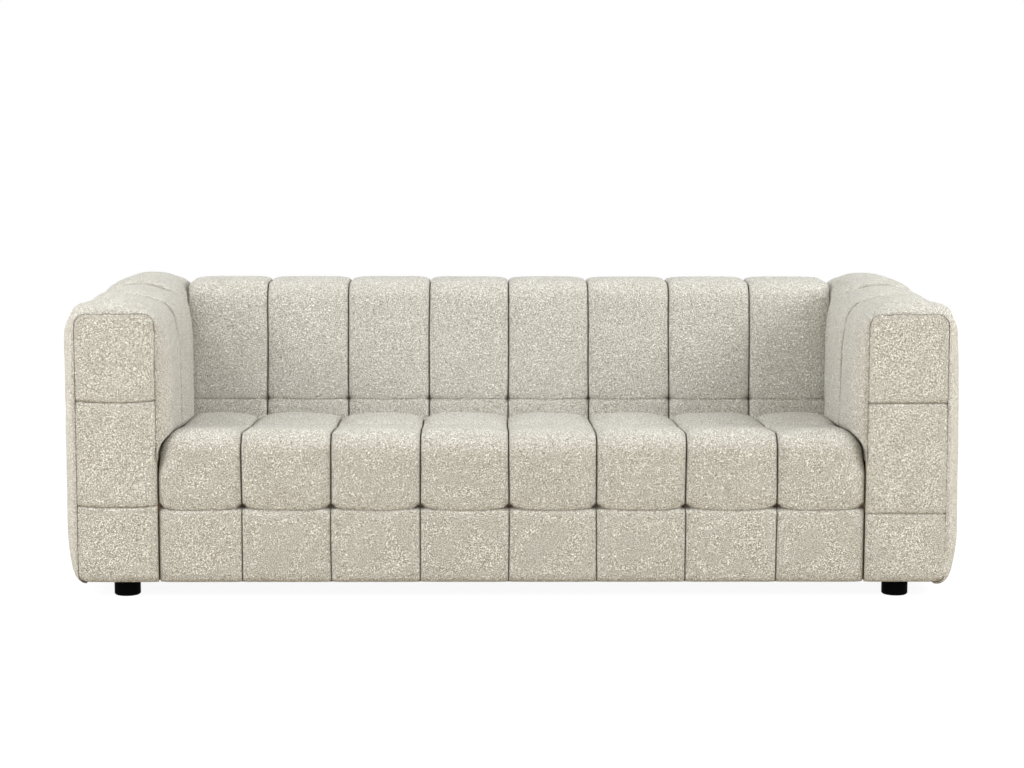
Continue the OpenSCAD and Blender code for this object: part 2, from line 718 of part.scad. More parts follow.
// Sheet under the base, with a hole for each stud
module dust_cover() {
    color([0.12, 0.12, 0.13]) difference() {
        block([arm_hem_r - arm_out_x, arm_out_x - arm_hem_r],
            [seat_front_y + fit_gap, back_rear_y - fit_gap], [foot_h, base_z]);
        both_arms() both_ends()
            translate([foot_x, foot_y, 0]) cylinder(r = nut_barrel_r, h = sofa_h);
    }
}

// Feet that screw up into the corner blocks
module foot(x_side, y_side) {
    top = foot_h - fit_gap;
    color([0.03, 0.03, 0.03]) translate([x_side * foot_x, y_side * -foot_y, 0]) rotate_extrude() polygon([
        [0, 0], [foot_dia / 2 - foot_edge, 0], [foot_dia / 2, foot_edge], [foot_dia / 2, top], [0, top]
    ]);
}

module foot_stud(x_side, y_side) {
    steel() translate([x_side * foot_x, y_side * -foot_y, foot_h - fit_gap])
        cylinder(r = stud_r, h = stud_top_z - foot_h + fit_gap);
}

module arm_front_band() {
    arm_band(front_y + arm_gap, band_y_1, even_column_shares, front_free = true);
}

module arm_middle_band() {
    arm_band(band_y_1, band_y_2, even_column_shares);
}

module arm_corner_band() {
    arm_band(band_y_2, rear_y - arm_gap, corner_column_shares, rear_free = true);
}

base_front_rail();
base_rear_rail();
base_side_rails();
base_cross_rails();
seat_spring_rail();
corner_blocks();
t_nuts();
arm_bolts();
back_ribs();
back_top_rail();
back_seam_rail();
back_webbing();
back_liner();
back_foam();
arm_end_boards();
arm_ribs();
arm_top_boards();
arm_outer_boards();
arm_inner_boards();
arm_foam();
seat_springs();
spring_clips();
spring_tie_wires();
deck_felt();
seat_foam();
dust_cover();
seat_channel(1);  // seat_channel_1
seat_channel(2);  // seat_channel_2
seat_channel(3);  // seat_channel_3
seat_channel(4);  // seat_channel_4
seat_channel(5);  // seat_channel_5
seat_channel(6);  // seat_channel_6
seat_channel(7);  // seat_channel_7
seat_channel(8);  // seat_channel_8
back_channel(1);  // back_channel_1
back_channel(2);  // back_channel_2
back_channel(3);  // back_channel_3
back_channel(4);  // back_channel_4
back_channel(5);  // back_channel_5
back_channel(6);  // back_channel_6
back_channel(7);  // back_channel_7
back_channel(8);  // back_channel_8
arm_front_band();  // arm_front_band_right
mirror([1, 0, 0]) arm_front_band();  // arm_front_band_left
arm_middle_band();  // arm_middle_band_right
mirror([1, 0, 0]) arm_middle_band();  // arm_middle_band_left
arm_corner_band();  // arm_corner_band_right
mirror([1, 0, 0]) arm_corner_band();  // arm_corner_band_left
arm_panel();  // arm_front_panel_right
mirror([1, 0, 0]) arm_panel();  // arm_front_panel_left
mirror([0, 1, 0]) arm_panel();  // arm_rear_panel_right
mirror([0, 1, 0]) mirror([1, 0, 0]) arm_panel();  // arm_rear_panel_left
foot(-1, -1);  // foot_front_left
foot_stud(-1, -1);  // foot_stud_front_left
foot(1, -1);  // foot_front_right
foot_stud(1, -1);  // foot_stud_front_right
foot(-1, 1);  // foot_rear_left
foot_stud(-1, 1);  // foot_stud_rear_left
foot(1, 1);  // foot_rear_right
foot_stud(1, 1);  // foot_stud_rear_right
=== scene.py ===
import json
import math

import bpy
import numpy as np
from mathutils import Matrix, Vector


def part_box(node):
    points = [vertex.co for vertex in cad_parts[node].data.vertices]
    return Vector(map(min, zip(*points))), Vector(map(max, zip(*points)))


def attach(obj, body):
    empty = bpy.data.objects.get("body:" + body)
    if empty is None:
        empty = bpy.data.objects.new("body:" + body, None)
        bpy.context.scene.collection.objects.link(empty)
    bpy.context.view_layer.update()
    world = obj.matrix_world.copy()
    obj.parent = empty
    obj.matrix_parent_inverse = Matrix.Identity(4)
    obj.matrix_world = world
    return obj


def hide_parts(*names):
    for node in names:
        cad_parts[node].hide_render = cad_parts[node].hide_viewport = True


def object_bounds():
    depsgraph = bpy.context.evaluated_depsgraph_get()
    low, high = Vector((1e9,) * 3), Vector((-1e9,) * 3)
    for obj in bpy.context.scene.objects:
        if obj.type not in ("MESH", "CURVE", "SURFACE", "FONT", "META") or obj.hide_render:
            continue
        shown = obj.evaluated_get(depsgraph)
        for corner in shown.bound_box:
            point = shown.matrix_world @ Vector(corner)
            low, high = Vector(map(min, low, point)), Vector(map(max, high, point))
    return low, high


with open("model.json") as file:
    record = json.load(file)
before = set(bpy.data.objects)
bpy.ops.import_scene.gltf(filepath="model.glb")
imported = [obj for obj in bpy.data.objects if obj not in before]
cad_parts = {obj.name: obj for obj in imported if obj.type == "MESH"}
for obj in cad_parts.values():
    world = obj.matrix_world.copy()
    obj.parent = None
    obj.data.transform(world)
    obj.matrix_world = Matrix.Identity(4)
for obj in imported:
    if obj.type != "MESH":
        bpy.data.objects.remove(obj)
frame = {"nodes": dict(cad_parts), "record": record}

cadLow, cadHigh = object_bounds()
scene = bpy.context.scene
body = "body"

# Everything is in metres, with the front towards -Y and the floor at zero.
channels = 8
lastChannels = (1, channels)
frontY, rearY = cadLow.y, cadHigh.y
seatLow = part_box("seat_channel_1")[0]
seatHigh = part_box(f"seat_channel_{channels}")[1]
hemZ = seatLow.z
bayX = (seatHigh.x - seatLow.x) / 2
pitch = 2 * bayX / channels


# Camera

camera = dict(
    spot=(-0.077, -6.279, 1.238),  # where the photographer stood
    tiltDown=6.886, turnRight=0.7425, roll=0.12,  # degrees
    focalPixels=2401, widthPixels=1024, sensor=36.0,
)


def makeCamera(c):
    data = bpy.data.cameras.new("photo_camera")
    data.sensor_width = c["sensor"]
    data.lens = c["focalPixels"] / c["widthPixels"] * c["sensor"]
    cam = bpy.data.objects.new("photo_camera", data)
    lean = Matrix.Rotation(math.radians(90 - c["tiltDown"]), 4, "X")
    turn = Matrix.Rotation(math.radians(-c["turnRight"]), 4, "Z")
    spin = Matrix.Rotation(math.radians(c["roll"]), 4, "Z")
    cam.matrix_world = Matrix.Translation(c["spot"]) @ turn @ lean @ spin
    scene.collection.objects.link(cam)
    scene.camera = cam


makeCamera(camera)
print("camera placed")


# Shader maths: a socket that can be written in plain sums

class Wire:
    def __init__(self, owner, socket):
        self.owner = owner
        self.socket = socket

    def join(self, operation, other, swap=False):
        pair = (other, self) if swap else (self, other)
        return self.owner.node("ShaderNodeMath", dict(operation=operation), dict(enumerate(pair)))

    def __add__(self, other):
        return self.join("ADD", other)

    def __radd__(self, other):
        return self.join("ADD", other, True)

    def __sub__(self, other):
        return self.join("SUBTRACT", other)

    def __rsub__(self, other):
        return self.join("SUBTRACT", other, True)

    def __mul__(self, other):
        return self.join("MULTIPLY", other)

    def __rmul__(self, other):
        return self.join("MULTIPLY", other, True)


# The node tree of a material or of the world
class Finish:
    def __init__(self, name, kind="materials"):
        self.block = getattr(bpy.data, kind).new(name)
        self.block.use_nodes = True
        self.tree = self.block.node_tree
        self.tree.nodes.clear()
        self.place = self.node("ShaderNodeTexCoord", output="Object")

    def plug(self, socket, value):
        if isinstance(value, Wire):
            self.tree.links.new(value.socket, socket)
        elif socket.type == "RGBA":
            socket.default_value = (*value, 1)
        else:
            socket.default_value = value

    def node(self, kind, settings=None, inputs=None, output=0):
        made = self.tree.nodes.new(kind)
        for key, value in (settings or {}).items():
            setattr(made, key, value)
        for key, value in (inputs or {}).items():
            self.plug(made.inputs[key], value)
        return Wire(self, made.outputs[output]) if made.outputs else None

    def blend(self, share, a, b):
        return self.node("ShaderNodeMix", dict(data_type="RGBA"), {0: share, 6: a, 7: b}, output=2)

    def ramp(self, value, span):
        return self.node("ShaderNodeMapRange", dict(interpolation_type="SMOOTHSTEP"),
                         {0: value, 1: span[0], 2: span[1]})

    def noise(self, scale, detail, rough=0.5, at=None):
        return self.node("ShaderNodeTexNoise", {}, {"Vector": at or self.place, "Scale": scale,
                                                    "Detail": detail, "Roughness": rough})

    def bump(self, height, strength, depth):
        return self.node("ShaderNodeBump", {}, {"Height": height, "Strength": strength, "Distance": depth})

    def done(self, **inputs):
        named = {key.replace("_", " "): value for key, value in inputs.items()}
        shader = self.node("ShaderNodeBsdfPrincipled", {}, named)
        self.node("ShaderNodeOutputMaterial", {}, {"Surface": shader})
        return self.block


# The cloth: worm-like loops, darker down in the gaps between them as painted shade, and a brown line of
# thread and painted seam shade wherever the mesh marks it
boucle = dict(
    loop=(0.95, 0.926, 0.838), mid=(0.785, 0.750, 0.655), gap=(0.275, 0.240, 0.172),
    shadeSpan=(0.40, 0.90), gapSpan=(0.05, 0.62),
    tint=(0.76, 0.73, 0.67), tintShare=0.06, tintScale=9.0, tintDetail=3.0, tintSpan=(0.35, 0.65),
    strandScale=680.0, strandSpan=(0.38, 0.62), curlScale=700.0, curlDetail=1.0, curlShare=0.15,
    warp=0.0014, warpScale=170.0, warpDetail=2.0, bumpDepth=0.0028, bumpStrength=1.0,
    # The dark brown stands for the seams' thread and for painted warm shade down in seams, creases and tuft
    # pits
    thread=(0.080, 0.045, 0.012), threadNap=0.8, sheen=0.08, sheenRough=0.6, rough=0.95, specular=0.06,
)


def makeBoucle(name, b):
    f = Finish(name)
    drift = f.node("ShaderNodeTexNoise", {}, {"Vector": f.place, "Scale": b["warpScale"],
                                              "Detail": b["warpDetail"]}, output=1)
    spread = (b["warp"],) * 3
    bent = f.node("ShaderNodeVectorMath", dict(operation="MULTIPLY_ADD"), {0: drift, 1: spread, 2: f.place})
    strands = f.ramp(f.noise(b["strandScale"], 0.0, at=bent), b["strandSpan"])
    curls = f.noise(b["curlScale"], b["curlDetail"], at=bent)
    height = strands * (1 - b["curlShare"]) + curls * b["curlShare"]
    # Painted shade: where the loops lie low the colour goes from loop to mid and on to the dark gap colour,
    # standing for the shade between the loops
    shade = f.ramp(height, b["shadeSpan"])
    outOfGapShade = f.ramp(height, b["gapSpan"])
    patch = f.ramp(f.noise(b["tintScale"], b["tintDetail"]), b["tintSpan"])
    colour = f.blend(outOfGapShade, b["gap"], f.blend(shade, b["mid"], b["loop"]))
    colour = f.blend(patch * b["tintShare"], colour, b["tint"])
    # Painted shade with the thread: the mesh's mark blends in the dark brown along seams, in creases and in
    # tuft pits
    sewn = f.node("ShaderNodeAttribute", dict(attribute_name="sewn"), output=2)
    raggedThreadShade = sewn * (1 + (0.5 - height) * b["threadNap"])
    colour = f.blend(raggedThreadShade, colour, b["thread"])
    bump = f.bump(height, b["bumpStrength"], b["bumpDepth"])
    return f.done(Base_Color=colour, Roughness=b["rough"], Normal=bump, Sheen_Weight=b["sheen"],
                  Sheen_Roughness=b["sheenRough"], Specular_IOR_Level=b["specular"])


footBlack = dict(
    colour=(0.0008, 0.0008, 0.0009), worn=(0.0016, 0.0016, 0.0018), grainScale=900.0, grainDetail=2.0,
    rough=0.55, roughSpread=0.16, roughScale=18.0, roughDetail=3.0, bumpStrength=0.3, bumpDepth=0.0002,
    specular=0.02,
)


def makeFootPlastic(name, p):
    f = Finish(name)
    grain = f.noise(p["grainScale"], p["grainDetail"])
    rough = p["rough"] + f.noise(p["roughScale"], p["roughDetail"]) * p["roughSpread"]
    bump = f.bump(grain, p["bumpStrength"], p["bumpDepth"])
    colour = f.blend(grain, p["colour"], p["worn"])
    return f.done(Base_Color=colour, Roughness=rough, Normal=bump, Specular_IOR_Level=p["specular"])


# Finishes of the pieces inside, all of one recipe
plainGrain = dict(detail=4.0, rough=0.6, span=(0.3, 0.7), bumpStrength=0.3, bumpDepth=0.0005)
plain = dict(
    timber=dict(name="sawn_timber", dark=(0.42, 0.28, 0.15), light=(0.62, 0.45, 0.27), scale=14.0, rough=0.7,
                stretch=(1, 1, 6)),
    foam=dict(name="open_foam", dark=(0.72, 0.63, 0.36), light=(0.85, 0.78, 0.52), scale=400.0, rough=0.95),
    steel=dict(name="zinc_steel", dark=(0.45, 0.45, 0.47), light=(0.62, 0.62, 0.64), scale=60.0, rough=0.35,
               metal=1.0),
    webbing=dict(name="elastic_webbing", dark=(0.03, 0.03, 0.035), light=(0.08, 0.08, 0.09), scale=700.0,
                 rough=0.85),
    felt=dict(name="needled_felt", dark=(0.16, 0.16, 0.17), light=(0.28, 0.28, 0.30), scale=300.0,
              rough=0.95),
    dust_cloth=dict(name="dust_cloth", dark=(0.015, 0.015, 0.017), light=(0.04, 0.04, 0.044), scale=600.0,
                    rough=0.9),
    hardboard=dict(name="hardboard", dark=(0.20, 0.12, 0.06), light=(0.30, 0.19, 0.10), scale=220.0,
                   rough=0.7),
)


def makePlain(name, dark, light, scale, rough, metal=0.0, stretch=(1, 1, 1)):
    g = plainGrain
    f = Finish(name)
    at = f.node("ShaderNodeVectorMath", dict(operation="MULTIPLY"), {0: f.place, 1: stretch})
    grain = f.noise(scale, g["detail"], g["rough"], at)
    colour = f.blend(f.ramp(grain, g["span"]), dark, light)
    return f.done(Base_Color=colour, Roughness=rough, Metallic=metal,
                  Normal=f.bump(grain, g["bumpStrength"], g["bumpDepth"]))


finishes = dict(boucle=makeBoucle("cream_boucle", boucle),
                black_plastic=makeFootPlastic("black_foot_plastic", footBlack))
finishes.update({slot: makePlain(**values) for slot, values in plain.items()})
slotOf = {p["node"]: p["material_slot"] for p in frame["record"]["subparts"]}
for nodeName, obj in frame["nodes"].items():
    obj.data.materials.clear()
    obj.data.materials.append(finishes[slotOf[nodeName]])
print("finishes made")


# Padding: a closed sheet lofted over a path of lines and arcs. Angles are those of the outward normal,
# in degrees: 180 faces the start side, 90 faces up and 0 faces the far side.

rows = dict(finest=0.0016, growth=0.3, stepInArc=0.5, arcShare=0.12, slack=1e-9)
ripple = dict(waves=7, shortest=0.6, longest=1.7)
crowding = 0.115  # how much closer a pad's columns stand at its seams
seamStray = (dict(share=0.6, rate=9, shift=1.7), dict(share=0.4, rate=23, shift=4.1))
pleats = dict(spacings=(0.011, 0.0143, 0.0187), turn=6, swell=17, fromSeam=0.007, reach=0.02)
# The full dark of a sewn line is thread and painted seam shade
threadCore = 1.5  # how far the full dark of a sewn line is drawn out before it fades
padding = 2.6  # power of the curve of a plain padded edge


def line(start, end, angle):
    return dict(length=math.dist(start, end), start=np.array(start), way=np.array(end) - start,
                angles=(angle, angle))


def arc(mid, radius, first, last):
    return dict(length=radius * math.radians(abs(last - first)), mid=np.array(mid), radius=radius,
                angles=(first, last))


# Where the rows of a pad stand along its path: close together at the folds and in the arcs
def rowRuns(stretches, step, folds):
    total = sum(t["length"] for t in stretches)
    runs, at = [0.0], 0.0
    while at < total:
        away = min([max(low - at, at - high, 0) for low, high in folds], default=1)
        longest, begin = step, 0.0
        for t in stretches:
            if "mid" in t and begin - step < at < begin + t["length"]:
                longest = min(step * rows["stepInArc"], t["radius"] * rows["arcShare"])
            begin += t["length"]
        at += min(longest, rows["finest"] + rows["growth"] * away)
        runs.append(min(at, total))
    return runs


def walk(stretches, step, folds=()):
    runs = rowRuns(stretches, step, folds)
    points, angles = [], []
    for r in runs:
        for t in stretches:
            if r <= t["length"] + rows["slack"] or t is stretches[-1]:
                break
            r -= t["length"]
        share = min(r / t["length"], 1)
        angle = t["angles"][0] + (t["angles"][1] - t["angles"][0]) * share
        if "mid" in t:
            turn = math.radians(angle)
            points.append(t["mid"] + t["radius"] * np.array([math.cos(turn), math.sin(turn)]))
        else:
            points.append(t["start"] + t["way"] * share)
        angles.append(angle)
    return np.array(points), np.array(angles), np.array(runs)


def smooth(x, low, high):
    t = np.clip((x - low) / (high - low), 0, 1)
    return t * t * (3 - 2 * t)


def bell(x, width):
    return np.exp(-(x / width) ** 2)


# Share of the full height at a distance from a seam: 0 in the seam, 1 past its width
def shoulder(distance, width, power=padding):
    t = np.clip(distance / width, 0, 1)
    return (1 - (1 - t) ** power) ** (1 / power)


def fall(distance, f):
    return f["depth"] * (1 - shoulder(distance, f["width"], f.get("power", padding)))


# A sewn seam: a broad pillow fall and a narrow crease in it
def groove(distance, seam):
    return sum(fall(distance, part) for part in seam)


def dent(across, along, d):
    return d["depth"] * np.exp(-(across / d["across"]) ** 2 - (along / d["along"]) ** 2)


def softNoise(a, b, n, index=0):
    rng = np.random.default_rng(n["seed"] + index)
    total = np.zeros(np.broadcast(a, b).shape)
    for _ in range(ripple["waves"]):
        turn, phase = rng.uniform(0, 2 * math.pi, 2)
        wave = 2 * math.pi / (n["size"] * rng.uniform(ripple["shortest"], ripple["longest"]))
        total = total + np.sin(wave * (a * math.cos(turn) + b * math.sin(turn)) + phase)
    return n["amount"] * total / ripple["waves"]


# Shares from 0 to 1, closer together near both ends
def edgeSpaced(count):
    t = np.linspace(0, 1, count)
    return (t - crowding * np.sin(2 * math.pi * t))[None, :]


# Sideways drift of a sewn seam, the same for the pads on both sides of it
def wander(seam, along, amount):
    return amount * sum(np.sin(along * w["rate"] + seam * w["shift"]) * w["share"] for w in seamStray)


# Short puckers that stand square to a seam
def gather(distance, along, seed):
    p = pleats
    rng = np.random.default_rng(seed)
    ridges = sum(np.sin(2 * math.pi * along / w + rng.uniform(0, p["turn"])) for w in p["spacings"])
    strength = 0.5 + 0.5 * np.sin(along * p["swell"] + seed)
    return ridges / len(p["spacings"]) * strength * bell(distance - p["fromSeam"], p["reach"])


# Dark thread and painted shade at a distance from a sewn line
def threadAndShadeLine(distance, t):
    return t["dark"] * np.clip(threadCore - threadCore * np.abs(distance) / t["width"], 0, 1)


def turnOutward(mesh):
    mesh.calc_loop_triangles()
    co = np.array([v.co for v in mesh.vertices])
    tri = np.array([t.vertices for t in mesh.loop_triangles])
    a, b, c = co[tri[:, 0]], co[tri[:, 1]], co[tri[:, 2]]
    if np.einsum("ij,ij->i", a, np.cross(b, c)).sum() < 0:
        mesh.flip_normals()


# spots is a grid, rows by columns, of outer points, and sole holds the two inner edges of each row.
def loftPad(name, node, spots, sole, sewn):
    high, wide = spots.shape[:2]
    vertices = np.concatenate([spots.reshape(-1, 3), sole.reshape(-1, 3)])
    o = np.arange(high * wide).reshape(high, wide)
    s = high * wide + np.arange(high * 2).reshape(high, 2)
    top = np.stack([o[:-1, :-1], o[:-1, 1:], o[1:, 1:], o[1:, :-1]], axis=-1).reshape(-1, 4)
    left = np.stack([o[1:, 0], s[1:, 0], s[:-1, 0], o[:-1, 0]], axis=-1)
    right = np.stack([o[:-1, -1], s[:-1, 1], s[1:, 1], o[1:, -1]], axis=-1)
    under = np.stack([s[:-1, 0], s[1:, 0], s[1:, 1], s[:-1, 1]], axis=-1)
    faces = np.concatenate([top, left, right, under]).tolist()
    faces.append([int(v) for v in (*o[0, ::-1], s[0, 0], s[0, 1])])
    faces.append([int(v) for v in (*o[-1, :], s[-1, 1], s[-1, 0])])
    mesh = bpy.data.meshes.new(name)
    mesh.from_pydata(vertices.tolist(), [], faces)
    mesh.validate()
    mesh.polygons.foreach_set("use_smooth", [True] * len(mesh.polygons))
    markRim(mesh, o)
    thread = mesh.attributes.new("sewn", "FLOAT", "POINT")
    # Painted shade: the sides and the sole take the full dark brown, so the walls down in the seams between
    # pads look shaded
    dark = np.ones(len(vertices))
    dark[:high * wide] = np.broadcast_to(sewn, (high, wide)).ravel()
    thread.data.foreach_set("value", dark.astype(np.float32))
    mesh.update()
    piece = bpy.data.objects.new(name, mesh)
    scene.collection.objects.link(piece)
    mesh.materials.append(finishes["boucle"])
    turnOutward(mesh)
    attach(piece, body)
    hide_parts(node)


# Makes the edges round the outer sheet sharp, and all those of the sides and the sole
def markRim(mesh, outer):
    rim = set()
    for ends in (outer[:, 0], outer[:, -1], outer[0, :], outer[-1, :]):
        rim |= {tuple(sorted(pair)) for pair in zip(ends[:-1].tolist(), ends[1:].tolist())}
    sharp = mesh.attributes.new("sharp_edge", "BOOLEAN", "EDGE")
    for edge in mesh.edges:
        pair = tuple(sorted(edge.vertices))
        sharp.data[edge.index].value = pair[1] >= outer.size or pair in rim


# Outer points and inner edges of a pad that runs across the sofa, from its path and its depth
def acrossSofa(x, points, angles, deep, under):
    a = np.radians(angles)[:, None]
    y = points[:, 0][:, None]
    z = points[:, 1][:, None]
    outY, outZ = y + deep * np.cos(a), z + deep * np.sin(a)
    spots = np.stack([np.broadcast_to(x, outY.shape), outY, outZ], axis=-1)
    sole = np.stack([x[:, [0, -1]], y + under * np.cos(a), z + under * np.sin(a)], axis=-1)
    return spots, sole


# Seat

seat = dict(
    pad=0.040, crown=0.417, fall=0.033, rollRadius=0.014, depth=0.610, crevice=0.013,
    tuftRow=0.225, crossSeam=0.270, shoulderRadius=0.070, step=0.0055, columns=41,
    drift=(0, -0.013, -0.011, -0.009, -0.0085, -0.0095, -0.007, 0, 0),  # sewn seams stray this far sideways
    stray=0.0012, thinnest=0.004,
    upperSeam=(dict(depth=0.014, width=0.050), dict(depth=0.003, width=0.003, power=1.8)),
    lowerSeam=(dict(depth=0.006, width=0.034), dict(depth=0.003, width=0.003, power=1.8)),
    upperFrom=(-0.012, 0.020), besideArm=dict(depth=0.020, width=0.036),
    topFrom=0.93, shoulderFrom=0.80,  # shares of the front's height
    rowSag=0.007, rowStray=dict(amount=0.0012, seed=50, size=0.6), rowFold=0.004, rowCornerFold=0.010,
    rowAbove=dict(depth=1, width=0.040), rowBelow=dict(depth=1, width=0.018, power=2.0),
    rowCrease=dict(depth=0.004, width=0.0045, power=1.6), cornerWidth=0.030,
    crossSag=0.006, crossFine=0.006,
    cross=(dict(depth=0.013, width=0.050, power=2.2), dict(depth=0.006, width=0.006, power=1.6)),
    tuft=dict(depth=0.020, across=0.010, along=0.0055), tuftAbove=0.001,
    dipBesideSeam=0.55, fullSide=0.028, hem=dict(depth=0.008, width=0.030),
    bulge=0.006, bulgeLevel=0.85, archPower=0.7, puffPower=0.8, lowerPuff=0.35, rearPuff=2.6,
    wave=dict(amount=0.0016, seed=10, size=0.13),
    pucker=0.0013, puckerBase=0.3, puckerBesideArm=2.2, puckerFrom=(0.02, 0.06), puckerUntil=0.05,
    rearDrop=0.022, rearDropRun=0.085,
    # Thread and painted shade along the seams, darkest in wedges beside the tufts, and painted shade in the
    # tuft pits
    wedgeShade=dict(width=0.0045, dark=0.8), wedgeShadeReach=0.016, rowThreadShade=dict(width=0.0030, dark=0.30),
    seamThreadShade=dict(width=0.0025, dark=0.75), upperThreadShade=dict(width=0.0025, dark=0.20),
    tuftThreadShade=dict(depth=1, across=0.008, along=0.005), darkest=0.95,
)


def seatPath(s):
    y = frontY + s["pad"]
    core = s["crown"] - s["pad"]
    mid = (y + s["rollRadius"], core - s["rollRadius"])
    endY = frontY + s["depth"] - s["crevice"]
    slope = math.degrees(math.atan2(s["fall"], endY - mid[0]))
    tuftAt = s["tuftRow"] - hemZ
    topAt = mid[1] - hemZ + s["rollRadius"] * math.radians(90 + slope)
    crossAt = topAt + frontY + s["crossSeam"] - mid[0]
    path = walk([
        line((y, hemZ), (y, mid[1]), 180),
        arc(mid, s["rollRadius"], 180, 90 - slope),
        line((mid[0], core), (endY, core - s["fall"]), 90 - slope),
    ], s["step"], [(tuftAt - s["rowSag"], tuftAt), (crossAt, crossAt + s["crossFine"])])
    return path, mid[1] - hemZ, tuftAt, topAt, crossAt


def channelX(k, u, r, s, firstSeam):
    low = -bayX + (k - 1) * pitch + s["drift"][k - 1]
    high = -bayX + k * pitch + s["drift"][k]
    x = low + (high - low) * u
    x = x + wander(firstSeam, r, s["stray"]) * (1 - u) * (k > 1)
    return x + wander(firstSeam + 1, r, s["stray"]) * u * (k < channels)


# Height of the padding between its seams, in shares: front below the tufts, roll and rear part
def seatPuff(r, run, arch, s, tuftAt, crossAt):
    up = np.clip((r - tuftAt) / (crossAt - tuftAt), 0, 1)
    down = np.clip(r / tuftAt, 0, 1)
    rear = np.clip((r - crossAt) / (run[-1] - crossAt), 0, 1)
    return arch ** s["archPower"] * (np.sin(math.pi * up ** s["puffPower"])
                                     + s["lowerPuff"] * np.sin(math.pi * down)
                                     + s["rearPuff"] * np.sin(math.pi * rear))


def seatChannel(k, s):
    (points, angles, run), frontRise, tuftAt, topAt, crossAt = seatPath(s)
    u = edgeSpaced(s["columns"])
    r = run[:, None]
    x = channelX(k, u, r, s, k - 1)
    fromSeam = np.minimum(u, 1 - u) * pitch
    sewnSide = fromSeam
    arch = 1 - (2 * u - 1) ** 2
    upper = smooth(r, tuftAt + s["upperFrom"][0], tuftAt + s["upperFrom"][1])
    armSide = None
    if k in lastChannels:  # the shoulder takes the place of the seam beside the arm
        armSide = (u if k == 1 else 1 - u) * pitch
        sewnSide = (1 - u if k == 1 else u) * pitch
    side = groove(sewnSide, s["upperSeam"]) * upper + groove(sewnSide, s["lowerSeam"]) * (1 - upper)
    if armSide is not None:
        side = side + fall(armSide, s["besideArm"]) * (1 - smooth(r, frontRise * s["topFrom"], topAt))

    seamAt = tuftAt - s["rowSag"] * (1 - abs(2 * u - 1) ** 3) + softNoise(u, 0, s["rowStray"], k)
    off = r - seamAt
    corner = bell(fromSeam, s["cornerWidth"])
    fold = np.where(off > 0, fall(abs(off), s["rowAbove"]), fall(abs(off), s["rowBelow"]))
    dip = fold * (s["rowFold"] + s["rowCornerFold"] * corner)
    dip = dip + fall(abs(off), s["rowCrease"]) * (0.5 + corner)
    dip = dip + groove(abs(r - crossAt - s["crossSag"] * arch), s["cross"])
    tuftOff = r - tuftAt - s["tuftAbove"]
    pit = dent(fromSeam, tuftOff, s["tuft"])
    sunk = side + dip * (1 - (1 - s["dipBesideSeam"]) * side / s["fullSide"]) + pit
    deep = s["pad"] - np.minimum(sunk, s["pad"] - s["thinnest"]) - fall(r, s["hem"])
    deep = deep + s["bulge"] * (seatPuff(r, run, arch, s, tuftAt, crossAt) - s["bulgeLevel"])
    deep = deep + softNoise(x, r, s["wave"], k)
    nearTuft = smooth(r, tuftAt + s["puckerFrom"][0], tuftAt + s["puckerFrom"][1])
    nearTuft = nearTuft * (1 - smooth(r, topAt, topAt + s["puckerUntil"]))
    strong = s["puckerBesideArm"] if armSide is not None else 1
    deep = deep + s["pucker"] * strong * (s["puckerBase"] + nearTuft) * gather(fromSeam, r, k)
    if armSide is not None:
        rad = s["shoulderRadius"]
        near = np.clip(rad - armSide, 0, rad)
        shoulderOn = smooth(r, frontRise * s["shoulderFrom"], topAt)
        deep = deep - (rad - np.sqrt(rad ** 2 - near ** 2)) * shoulderOn
    deep = deep - s["rearDrop"] * smooth(r, run[-1] - s["rearDropRun"], run[-1])

    under = np.minimum(0.0, deep[:, [0, -1]] - s["thinnest"])
    spots, sole = acrossSofa(x, points, angles, deep, under)
    # Painted shade with the thread: dark along the seams, in the wedges beside the tufts and in the tuft pits
    seamThreadShade = threadAndShadeLine(sewnSide, s["seamThreadShade"]) + threadAndShadeLine(sewnSide, s["upperThreadShade"]) * upper
    threads = (bell(fromSeam, s["wedgeShadeReach"]) * threadAndShadeLine(off, s["wedgeShade"]), threadAndShadeLine(off, s["rowThreadShade"]),
               seamThreadShade, dent(fromSeam, tuftOff, s["tuftThreadShade"]))
    sewn = np.clip(np.maximum.reduce(np.broadcast_arrays(*threads)), 0, s["darkest"])
    loftPad(f"seat_puff_{k}", f"seat_channel_{k}", spots, sole, sewn)


for k in range(1, channels + 1):
    seatChannel(k, seat)
print("seat made")


# Back

